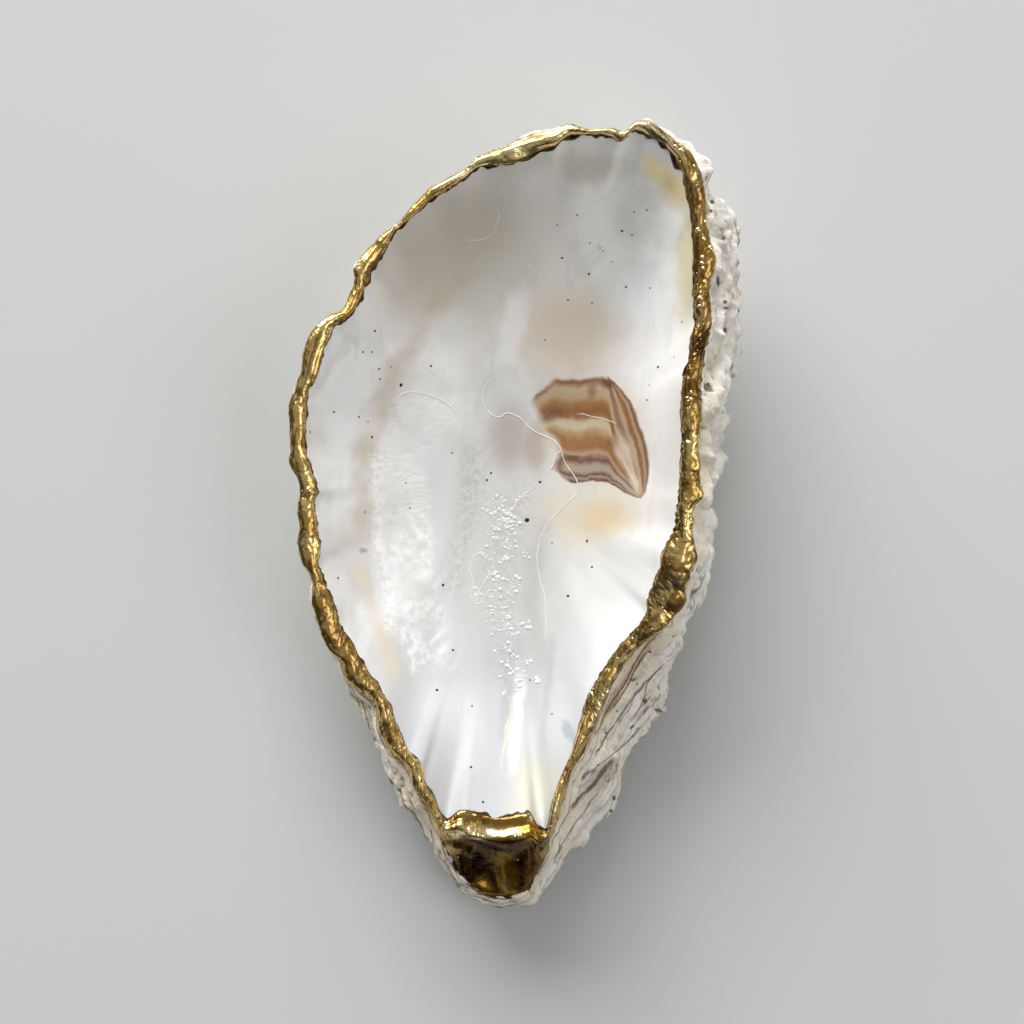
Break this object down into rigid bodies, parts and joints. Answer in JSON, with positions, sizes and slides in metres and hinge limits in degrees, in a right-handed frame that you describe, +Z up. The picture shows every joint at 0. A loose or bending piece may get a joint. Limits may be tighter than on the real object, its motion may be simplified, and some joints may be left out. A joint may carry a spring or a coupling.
{
  "type": "oyster shell",
  "caption": "Cupped oyster valve with a smooth nacre bowl, a gilded lip and hinge plate and a rough ledged crust, used as a small dish.",
  "frame": {"origin": "under the middle of the shell's box, on the surface that the shell rests on", "axes": "+Y from the hinge to the far margin, +Z up out of the open bowl, +X to the side of the muscle scar"},
  "size_m": [0.0576, 0.1008, 0.0211],
  "materials": {
    "shell": "glossy varnished nacre inside, matt chalky crust outside",
    "gilding": "crumpled gold leaf, glossy"
  },
  "bodies": {
    "root": {"shell": "shell"}
  },
  "joints": []
}
